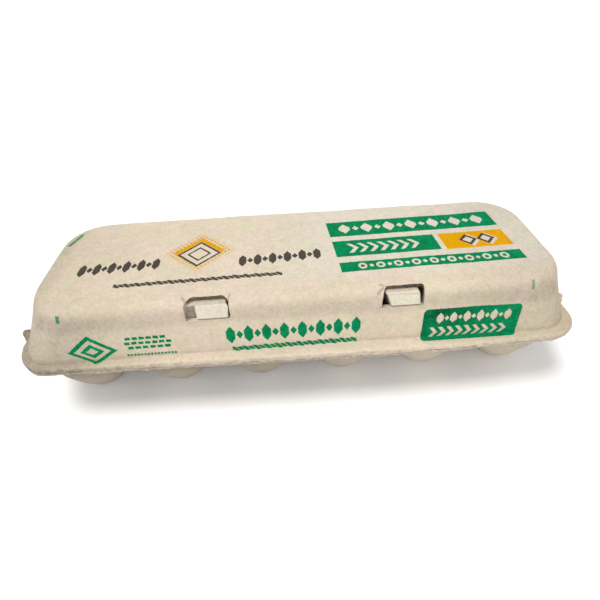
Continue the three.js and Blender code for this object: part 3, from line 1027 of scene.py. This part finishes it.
def print_masks(paint, place):
    """Where the lid is printed: masks of green, orange and black ink.

    The place is shaken a little by fine noise, as ink creeps along fibres.
    """
    creep = paint.noise(place, 1.1, 2.0) - 0.5
    creep_too = paint.noise(place + (31.0, 7.0, 19.0), 0.9, 2.0) - 0.5
    x0, y0, z0 = place.parts()
    x = x0 + creep * 0.7
    y = y0 + creep_too * 0.7
    on_top = z0.step(66.6, 67.4) * y0.step(-38.5, -37.5)
    green, orange, black = top_print(x, y)

    # On the front wall the level is stretched near the foot and runs on along the flange.
    level = z0 + (58.0 - z0).most(0.0) * 0.095 + (y0 + 45.9).least(0.0) * 1.1 + creep_too * 0.7
    on_front = y0.fall(-41.0, -40.4)
    front = front_print(x, level)
    ticks = oblong(x0 - z0 * 0.12, z0, -122.5, -120.7, 62.0, 65.4) * 1.5
    ticks = ticks + oblong(x0, z0, 114.2, 115.6, 63.2, 67.2)
    ticks = ticks * y0.fall(-39.5, -38.8) * 0.58
    stroke = oblong(x0 - (y0 - 18.5) * 0.342, y0, -125.5, -123.3, 12.6, 24.6) * on_top
    ticks = ticks.most(stroke * 0.8)
    green = (green * on_top).most(front * on_front).most(ticks)
    return green, orange * on_top, black * on_top


def crack(x, y, start, end, width):
    """A short crease in the top, from start to end: near one within the width of that line."""
    along = np.array(end) - np.array(start)
    size = float(np.hypot(*along))
    along = along / size
    run = ((x - start[0]) * along[0] + (y - start[1]) * along[1]).most(0.0).least(size)
    dx = x - start[0] - run * along[0]
    dy = y - start[1] - run * along[1]
    return (dx * dx + dy * dy).root().fall(width * 0.3, width)


def trimmed_edge(paint, place):
    """The flanges' cut edge: where it is, its bits of light fibre, dark pits and painted shade."""
    x0, _, z0 = place.parts()
    stretched = place * (0.62, 0.62, 1.0)
    crumb = paint.noise(stretched, 0.62, 3.0, 0.7)
    where = z0.step(32.0, 32.6) * z0.fall(36.9, 37.9)
    pits = crumb.fall(0.34, 0.47)
    # Painted shade: the edge is darker up to 30 mm right of the middle, a touch lighter past 80 mm.
    light = crumb.step(0.56, 0.68) * 0.16 - pits * 0.2 - x0.step(30.0, 80.0, 0.15, -0.03)
    return where, light, crumb


def tinted(tint, *factors):
    """A colour with its parts multiplied by one factor each, or all by one."""
    return tuple(np.array(tint) * factors)


def tray_painted_shade(light, x, z):
    """Painted shade under the flange darkens the cups' upper parts."""
    below = z.fall(31.5, 32.2)
    light = light - z.step(10.0, 26.0) * below * 0.20
    # The cups are darker towards the left end and lighter towards the right.
    return light + x.step(-15.0, 60.0, -0.22, 0.10) * below


def tab_painted_shade(paint, base, light, tint, x, y, z):
    """Painted shade on the head's set-back faces and top; the right tab's upper edge is darker."""
    # Painted shade: the set-back faces are much darker, most in a spot low beside the left tab's
    # head.
    front = (y + 41.6) + (z - 60.0) * -0.2
    back = front.step(0.8, 1.5) * z.fall(64.6, 64.9)
    spot = abs(x + 49.7).fall(0.3, 1.3) * z.fall(58.6, 61.5)
    light = light - back * (0.54 + spot * 0.22)
    # Painted shade on the top behind the front face.
    light = light - front.step(0.5, 1.2) * z.step(64.7, 65.0) * 0.17
    light = light - abs(z - 64.95).fall(0.1, 0.6) * x.step(0.0, 1.0) * 0.16
    # Painted shade also makes the faces behind the front pinker.
    return paint.mix(front.step(0.5, 1.2), base, tinted(tint, 1.0, 0.93, 0.86)), light


def inside_painted_shade(paint, base, light, grain, lid, x, y, z):
    """Painted shade on the windows' cuts: the rear one is nearly black, browner at its left end.

    The left window's side cuts and the sills in front of the tabs are as light as the lid.
    """
    rear = y.step(-39.0, -38.2) * z.step(63.5, 64.5)
    ragged = grain.step(0.35, 0.6, 0.62, 0.95)
    light = light - rear * ragged * x.step(46.0, 53.0, 0.86, 0.98)
    # Painted shade: the right window's other cut faces are darker.
    light = light - x.step(0.0, 1.0) * 0.35 * (1.0 - rear)
    left_cut = x.step(-53.6, -53.2, 0.78, 0.0) * y.step(-40.5, -39.5, 1.0, 0.4)
    right_cut = x.step(-33.6, -33.1) * x.fall(-30.0, -25.0) * y.step(-39.0, -38.0, 0.95, 0.3)
    sill = z.fall(58.6, 59.4)
    light = union([light, left_cut, right_cut, sill * 0.95]).most(0.04)
    return paint.mix(sill, base, tinted(lid, 0.95)), light


def lid_painted_shade_and_creases(paint, base, light, tint, x, y, z):
    """Painted shade on the lid, a paler top on the right, and creases at the windows' corners."""
    # Painted shade along the crease at the walls' foot and in a band under the front shoulder.
    crease = abs(z - 39.4).fall(0.3, 2.2)
    under = abs(z - 60.5).fall(1.5, 7.0) * y.fall(-38.5, -35.0)
    light = light - crease * 0.05 - under * 0.15
    # Painted shade at both ends: greyer from about 70 mm out, darker and olive at the very ends.
    light = light - abs(x + 6.0).step(60.0, 140.0) * y.step(-45.0, -30.0, 1.0, 0.75) * 0.15
    # Painted shade on the left part of the front wall, on the left end and on its flange.
    steep = y.fall(-44.0, -40.0).most(x.fall(-129.0, -118.0))
    light = light - steep * x.fall(-130.0, -50.0) * 0.14
    light = light - x.fall(-125.0, -90.0) * z.fall(38.2, 39.6) * 0.12
    # The top behind the windows is paler from the middle rightwards.
    high = z.step(62.0, 66.5) * y.step(-36.0, -22.0)
    base = paint.mix(high * x.step(-50.0, 40.0), base, base * (1.0, 1.06, 1.13))
    end = abs(x + 4.0).step(126.0, 148.0) * z.step(38.0, 44.0, 1.0, 0.5)
    end = end * (1.0 - high * x.step(0.0, 1.0) * 0.8)
    base = paint.mix(end * 0.8, base, tinted(tint, 0.90, 0.86, 0.74))
    # The creases are grooves in the relief, darkened by painted shade.
    slits = union(crack(x, y, *line) for line in CREASES) * z.step(64.0, 65.0)
    return base, light - slits * 0.24, slits


def inked(paint, place, base, rough, blotch, grain, felt):
    """The lid's colour and roughness with its print, which is worn where the pulp is coarse."""
    tone = bpy.context.scene.carton_colours
    x, y, z = place.parts()
    green, orange, black = print_masks(paint, place)
    wear = (grain * 0.6 + felt * 0.4).step(0.60, 0.78, 1.0, 0.6) * tone.coverage
    light = 1.0 + (blotch - 0.5) * 1.1 + (grain - 0.5) * 1.3
    # Painted shade: the panel on the front wall is darker at its upper left.
    shaded = y.fall(-41.0, -40.0) * x.fall(68.0, 104.0) * x.step(40.0, 50.0) * z.step(40.0, 54.0)
    base = paint.mix(green * wear, base, (light - shaded * 0.45) * tuple(tone.green))
    base = paint.mix(orange * wear, base, (light * 0.25 + 0.75) * tuple(tone.orange))
    base = paint.mix(black * wear * 0.94, base, light * tuple(tone.black))
    return base, rough - (green + orange + black) * 0.1


def pulp(name, tint, seed, part):
    """Moulded pulp: cloudy colour, curled fibres, a few dark specks and a fine felted relief.

    The part (lid, tray, tab, inside or hinge) adds its own painted shade, and the lid its print.
    """
    tone = bpy.context.scene.carton_colours
    paint = Paint(name)
    place = paint.position()
    shifted = place + (seed, seed * 0.7, seed * 1.3)
    cloud = paint.noise(shifted, 0.024, 3.0, 0.6)
    warmth = paint.noise(shifted + (71.0, 33.0, 5.0), 0.06, 4.0, 0.7)
    blotch = paint.noise(shifted + (17.0, 4.0, 9.0), 0.2, 4.0, 0.65)
    grain = paint.noise(shifted, 0.6, 4.0, 0.72)
    felt = paint.noise(shifted + (3.0, 8.0, 1.0), 0.4, 3.0, 0.62, 0.6)
    curl = paint.noise(shifted + (51.0, 5.0, 77.0), 0.55, 1.0, 0.4, 2.2)
    fibre = abs(curl - 0.5).fall(0.0, 0.022)
    curl_two = paint.noise(shifted + (9.0, 61.0, 23.0), 0.7, 1.0, 0.4, 2.6)
    fibre_two = abs(curl_two - 0.47).fall(0.0, 0.016)
    gap, luck = paint.cells(shifted, 0.11)
    size = luck.step(0.72, 1.0, 0.0, 0.052)
    speck = (gap - size).fall(-0.006, 0.014) * luck.step(0.72, 0.76)

    strength = tone.blotches
    light = 1.0 + (cloud - 0.5) * (0.22 * strength) + (blotch - 0.5) * (0.25 * strength)
    light = light + (grain - 0.5) * (0.50 * strength) + fibre * 0.03 - fibre_two * 0.05
    rosy, olive = tinted(tint, 1.022, 0.97, 0.965), tinted(tint, 0.97, 0.985, 0.90)
    base = paint.mix(warmth.step(0.36, 0.64), rosy, olive)
    height = grain * 0.6 + felt * 0.7 + fibre * 0.08 + fibre_two * 0.06
    rough = grain * 0.12 + 0.84
    x, y, z = place.parts()
    if part in ("lid", "tray", "hinge"):
        edge, crumbs_and_shade, crumb = trimmed_edge(paint, place)
        if part == "tray":
            edge = edge * (abs(x) - 142.5).most(abs(y) - 46.0).step(0.0, 1.5)
        # The flanges' cut edge gets its fibre bits, pits and painted shade.
        light = light + edge * crumbs_and_shade
        height = height + edge * (crumb - 0.5) * 2.2
    # Each part adds its painted shade; the lid also its creases.
    if part == "tray":
        light = tray_painted_shade(light, x, z)
    if part == "tab":
        base, light = tab_painted_shade(paint, base, light, tint, x, y, z)
    if part == "inside":
        base, light = inside_painted_shade(paint, base, light, grain, tone.lid, x, y, z)
    if part == "lid":
        base, light, slits = lid_painted_shade_and_creases(paint, base, light, tint, x, y, z)
        height = height - slits * 0.9
    base = paint.mix(speck * 0.6, base * light, tinted(tint, 0.30, 0.24, 0.18))
    if part == "lid":
        base, rough = inked(paint, place, base, rough, blotch, grain, felt)
    return paint.finish(base, rough, height, 0.5 * tone.relief)


def floor_material(tint):
    """A matt pale floor with the faintest unevenness."""
    paint = Paint("stage_floor")
    place = paint.position()
    cloud = paint.noise(place, 0.004, 2.0)
    base = paint.mix(cloud, tuple(tint), tinted(tint, 0.985))
    grain = paint.noise(place, 0.6, 2.0)
    return paint.finish(base, grain * 0.06 + 0.9, grain, 0.01)


# ---- pieces ----


class CARTON_OT_lid(bpy.types.Operator):
    """Builds the lid with its windows and its print"""

    bl_idname = "carton.lid"
    bl_label = "Lid"

    def execute(self, context):
        size = sizes()
        tone = context.scene.carton_colours
        edge = lid_rings(size)
        rings = np.concatenate([edge, rings_to_spine(edge[-1], 14)])
        rings = roughened(rings, size, 5, size.rim_seam - 0.1, size.rim_top - 0.6, 30.0)
        flat = rings[len(edge) :, :, 2]
        flat[:] = np.minimum(flat, size.height + 0.35)
        base = rings_to_spine(rings[0], 3)[::-1]
        lid = closed_stack("carton_lid", np.concatenate([base, rings]))
        add_ears(lid, size, size.rim_seam + HALF_SEAM, EAR_TOP, 31)
        lid.data.materials.append(pulp("pulp_lid", tone.lid, 3.0, "lid"))
        inside = pulp("pulp_inside", tone.inside, 13.0, "inside")
        for window in WINDOWS:
            for cutter in window_cutters(size, window):
                cutter.data.materials.append(inside)
                combine(lid, cutter, "DIFFERENCE")
        smooth(lid, 38)
        finish(lid, "lid", None)
        return {"FINISHED"}


class CARTON_OT_tray(bpy.types.Operator):
    """Builds the tray with its flange, web and cups"""

    bl_idname = "carton.tray"
    bl_label = "Tray"

    def execute(self, context):
        size = sizes()
        tone = context.scene.carton_colours
        rings = tray_rings(size)
        rings = roughened(rings, size, 47, size.rim_bottom - 0.2, size.rim_seam, 24.0)
        low = rings_to_spine(rings[0], 10)[::-1]
        high = rings_to_spine(rings[-1], 3)
        tray = closed_stack("carton_tray", np.concatenate([low, rings, high]))
        add_ears(tray, size, size.rim_bottom, size.rim_seam - HALF_SEAM, 37)
        middles = size.cup_shift + (np.arange(6) - 2.5) * size.cup_pitch
        hollows = [hollow_points(size, x) for x in (middles[1:] + middles[:-1]) / 2]
        combine(tray, many_stacks("hollows", hollows), "DIFFERENCE", tolerant=True)
        cups = [
            cup_points(size, x, row * size.cup_row, 100 + column * 4 + row)
            for column, x in enumerate(middles)
            for row in (-1, 1)
        ]
        combine(tray, many_stacks("cups", cups), "UNION")
        smooth(tray, 42)
        finish(tray, "tray", pulp("pulp_tray", tone.tray, 29.0, "tray"))
        return {"FINISHED"}


class CARTON_OT_tabs(bpy.types.Operator):
    """Builds the two locking tabs"""

    bl_idname = "carton.tabs"
    bl_label = "Locking tabs"

    def execute(self, context):
        size = sizes()
        material = pulp("pulp_tab", context.scene.carton_colours.tab, 41.0, "tab")
        for window in WINDOWS:
            tab = closed_stack(f"locking_tab_{window.name}", tab_points(size, window))
            if window.wing:
                combine(tab, closed_stack("wing", wing_points(size, window)), "UNION")
            smooth(tab, 60)
            finish(tab, f"latch_tab_{window.name}", material)
        return {"FINISHED"}


class CARTON_OT_hinge(bpy.types.Operator):
    """Builds the hinge fold behind the rim"""

    bl_idname = "carton.hinge"
    bl_label = "Hinge fold"

    def execute(self, context):
        size = sizes()
        root = size.back + 0.3
        top = size.rim_top - size.lip
        middle = (size.rim_bottom + top) / 2
        half = (top - size.rim_bottom) / 2 - 0.1
        turn = np.linspace(-np.pi / 2, np.pi / 2, 18)
        y = np.concatenate([[0.0], 0.4 + 1.6 * np.cos(turn), [0.0]])
        z = np.concatenate([[-half], half * np.sin(turn), [half]])
        x = np.linspace(-HINGE_HALF_LENGTH, HINGE_HALF_LENGTH, 300)
        scale = np.clip((HINGE_HALF_LENGTH - np.abs(x)) / 3.0, 0.0, 1.0)
        scale = 0.45 + 0.55 * np.sqrt(np.clip(1 - (1 - scale) ** 2, 0, 1))
        x, scale = x[:, None], scale[:, None]
        columns = (x, root + y * scale, middle + z * (0.75 + 0.25 * scale))
        points = np.stack(np.broadcast_arrays(*columns), axis=-1)
        points[..., 1] += 0.14 * soft_noise(points, 6.0, 83) * (y > 0.2)[None]
        hinge = closed_stack("hinge_band", points)
        smooth(hinge, 50)
        material = pulp("pulp_hinge", context.scene.carton_colours.tray, 53.0, "hinge")
        finish(hinge, "hinge_fold", material)
        return {"FINISHED"}


class CARTON_OT_stage(bpy.types.Operator):
    """Builds the floor, the lights and the camera"""

    bl_idname = "carton.stage"
    bl_label = "Studio"

    def execute(self, context):
        stage = context.scene.carton_stage
        corners = 12000.0 * np.array([(-1, -1, 0), (1, -1, 0), (1, 1, 0), (-1, 1, 0)])
        floor = new_object("stage_floor", corners, np.array([[0, 1, 2, 3]]))
        floor.data.materials.append(floor_material(stage.floor))
        spread = math.radians(26.0)
        self.lamp("SUN", "key", stage.key, (-0.30, 0.04, 0.95), (0.0, 0.0, 0.0), angle=spread)
        place, target = (0.04, -0.46, 0.22), (0.01, 0.0, 0.04)
        self.lamp("AREA", "fill", stage.fill, place, target, shape="SQUARE", size=0.26)
        world = bpy.data.worlds.new("studio")
        world.use_nodes = True
        sky = world.node_tree.nodes["Background"]
        sky.inputs[0].default_value = (1.0, 0.995, 0.985, 1.0)
        sky.inputs[1].default_value = stage.sky
        context.scene.world = world
        context.scene.view_settings.view_transform = "Standard"
        self.camera(context, stage)
        return {"FINISHED"}

    def lamp(self, kind, name, energy, place, target, **fields):
        """A lamp at a place, with its beam towards the target and with the fields of its kind."""
        data = bpy.data.lights.new(name, kind)
        data.energy = energy
        data.color = LAMP_TINT
        for field, value in fields.items():
            setattr(data, field, value)
        lamp = bpy.data.objects.new(name, data)
        back = unit(np.array(place) - np.array(target))
        side = unit(np.cross((0.0, 0.0, 1.0), back))
        lamp.matrix_world = axes_matrix(side, np.cross(back, side), back, place)
        bpy.context.scene.collection.objects.link(lamp)

    def camera(self, context, stage):
        """The camera from its place, and from pitch, yaw and roll."""
        yaw, pitch, roll = (math.radians(value) for value in (stage.yaw, stage.pitch, stage.roll))
        ahead = np.array(
            [math.sin(yaw) * math.cos(pitch), math.cos(yaw) * math.cos(pitch), -math.sin(pitch)]
        )
        level = unit(np.cross(ahead, (0.0, 0.0, 1.0)))
        up = np.cross(level, ahead)
        right = level * math.cos(roll) + up * math.sin(roll)
        up = up * math.cos(roll) - level * math.sin(roll)
        data = bpy.data.cameras.new("camera")
        data.sensor_width = 36.0
        data.sensor_fit = "HORIZONTAL"
        data.lens = stage.lens
        data.clip_start = 0.01
        camera = bpy.data.objects.new("camera", data)
        place = (stage.camera_x, stage.camera_y, stage.camera_z)
        camera.matrix_world = axes_matrix(right, up, -ahead, place)
        context.scene.collection.objects.link(camera)
        context.scene.camera = camera


def axes_matrix(x, y, z, place):
    """A placing from three axes and a place."""
    return Matrix([[x[i], y[i], z[i], place[i]] for i in range(3)] + [[0, 0, 0, 1]])


class CARTON_PT_panel(bpy.types.Panel):
    """Sizes, colours and building steps of the carton"""

    bl_idname = "CARTON_PT_panel"
    bl_label = "Egg Carton"
    bl_space_type = "VIEW_3D"
    bl_region_type = "UI"
    bl_category = "Carton"

    def draw(self, context):
        layout = self.layout
        for step in STEPS:
            layout.operator(step.bl_idname)
        for name, kind in GROUPS.items():
            box = layout.box()
            for entry in kind.__annotations__:
                box.prop(getattr(context.scene, name), entry)


GROUPS = {
    "carton_sizes": CartonSizes,
    "carton_colours": CartonColours,
    "carton_stage": StageSettings,
}
STEPS = (CARTON_OT_lid, CARTON_OT_tray, CARTON_OT_tabs, CARTON_OT_hinge, CARTON_OT_stage)
CLASSES = (*GROUPS.values(), *STEPS, CARTON_PT_panel)


def register():
    for entry in CLASSES:
        bpy.utils.register_class(entry)
    for name, kind in GROUPS.items():
        setattr(bpy.types.Scene, name, bpy.props.PointerProperty(type=kind))


def unregister():
    for name in GROUPS:
        delattr(bpy.types.Scene, name)
    for entry in reversed(CLASSES):
        bpy.utils.unregister_class(entry)


def main():
    register()
    bpy.ops.carton.lid()
    bpy.ops.carton.tray()
    bpy.ops.carton.tabs()
    bpy.ops.carton.hinge()
    bpy.ops.carton.stage()


if __name__ == "__main__":
    main()
